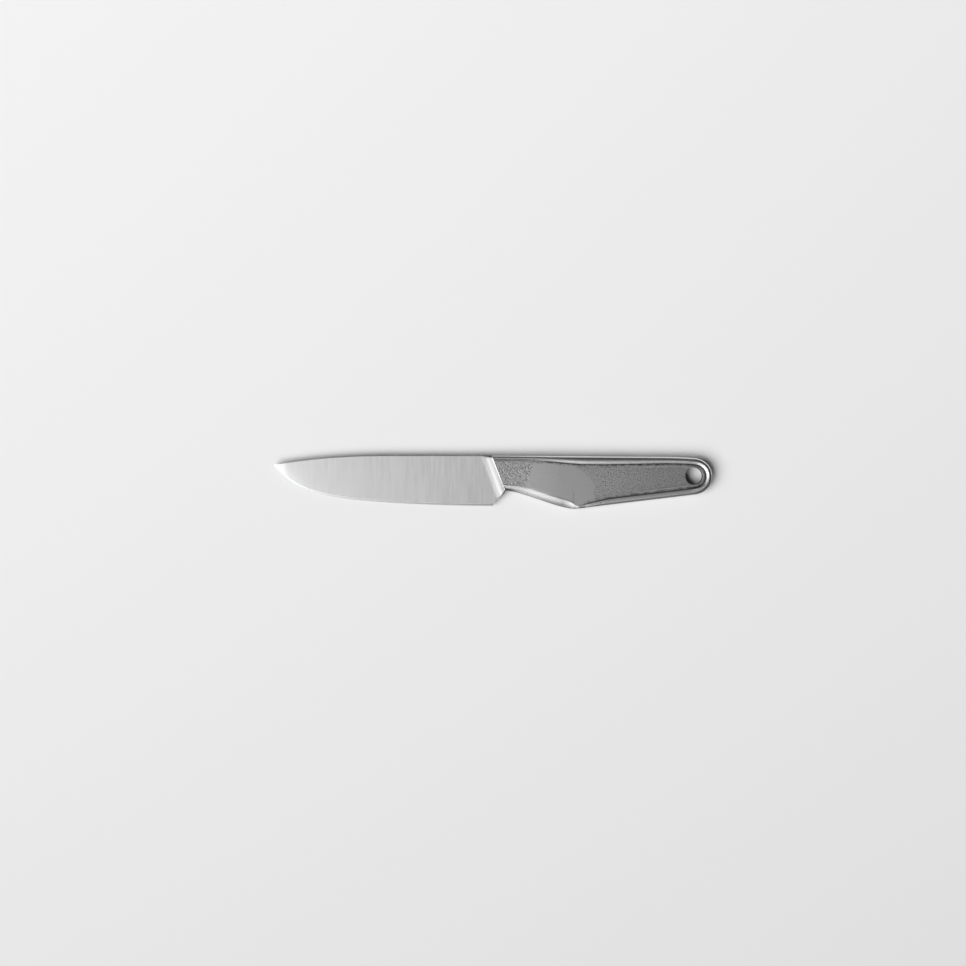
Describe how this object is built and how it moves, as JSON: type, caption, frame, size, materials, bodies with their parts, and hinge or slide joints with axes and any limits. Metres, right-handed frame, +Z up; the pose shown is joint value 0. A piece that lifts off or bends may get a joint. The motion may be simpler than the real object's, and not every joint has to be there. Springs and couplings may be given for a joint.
{
  "type": "paring knife",
  "caption": "Paring knife forged in one piece from steel: flat-ground blade, leaning bolster, rimmed handle with a pitted recessed web, finger groove and hanging hole.",
  "frame": {"origin": "under the middle of the knife's box, on the plane it lies on when it is laid on its side", "axes": "+X from the tip to the butt, +Y towards the spine, +Z up through the thickness"},
  "size_m": [0.2194, 0.0266, 0.0064],
  "materials": {
    "blade_steel": "satin, ground flat, with a polished cutting bevel",
    "bolster_steel": "fine satin, close to polished",
    "rim_steel": "forged, tumbled bright on the crest",
    "web_steel": "dull forged skin with pits and a smoother ground patch"
  },
  "bodies": {
    "root": {"blade": "blade_steel", "bolster": "bolster_steel", "handle_rim": "rim_steel", "handle_web": "web_steel"}
  },
  "joints": []
}
